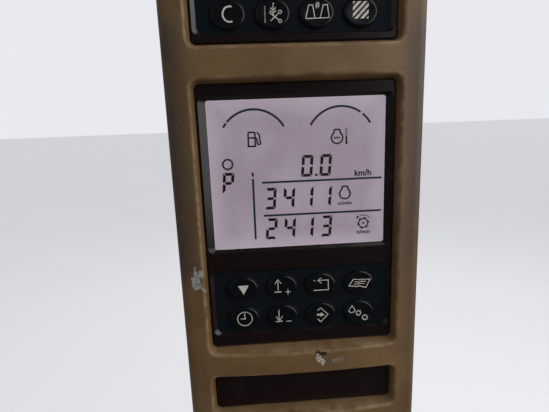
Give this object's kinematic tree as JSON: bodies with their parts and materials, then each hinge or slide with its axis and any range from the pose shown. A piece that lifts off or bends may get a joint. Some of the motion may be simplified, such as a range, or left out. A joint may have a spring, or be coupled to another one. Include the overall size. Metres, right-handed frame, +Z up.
{
  "type": "combine harvester cab display console",
  "caption": "Tan moulded post cover from a harvester cab, carrying stacked black displays with oval push keys and a smoked lamp strip, open at the back with threaded inserts.",
  "frame": {"origin": "middle of the four mounting inserts, in the plane of the cover's rear rim", "axes": "+X to the reader's right, -Y out of the face towards the reader, +Z up along the post"},
  "size_m": [0.154, 0.0605, 0.44],
  "materials": {
    "cover_tan": "fine leather grain, satin",
    "bezel_black": "satin gloss",
    "screen_grey": "anti-glare film",
    "keypad_rubber": "satin",
    "key_black": "satin",
    "panel_smoked": "smoked, glossy",
    "housing_black": "spark-eroded, matt",
    "socket_grey": "matt",
    "insert_brass": "machined"
  },
  "bodies": {
    "root": {"insert_lower_left": "insert_brass", "insert_lower_right": "insert_brass", "insert_upper_left": "insert_brass", "insert_upper_right": "insert_brass", "main_bezel": "bezel_black", "main_data_socket": "socket_grey", "main_housing": "housing_black", "main_key_1": "key_black", "main_key_2": "key_black", "main_key_3": "key_black", "main_key_4": "key_black", "main_key_5": "key_black", "main_key_6": "key_black", "main_key_7": "key_black", "main_key_8": "key_black", "main_keypad": "keypad_rubber", "main_power_socket": "socket_grey", "main_screen": "screen_grey", "post_cover": "cover_tan", "strip_housing": "housing_black", "strip_panel": "panel_smoked", "strip_socket": "socket_grey", "upper_bezel": "bezel_black", "upper_housing": "housing_black", "upper_key_1": "key_black", "upper_key_2": "key_black", "upper_key_3": "key_black", "upper_key_4": "key_black", "upper_keypad": "keypad_rubber", "upper_screen": "screen_grey", "upper_socket": "socket_grey"}
  },
  "joints": []
}
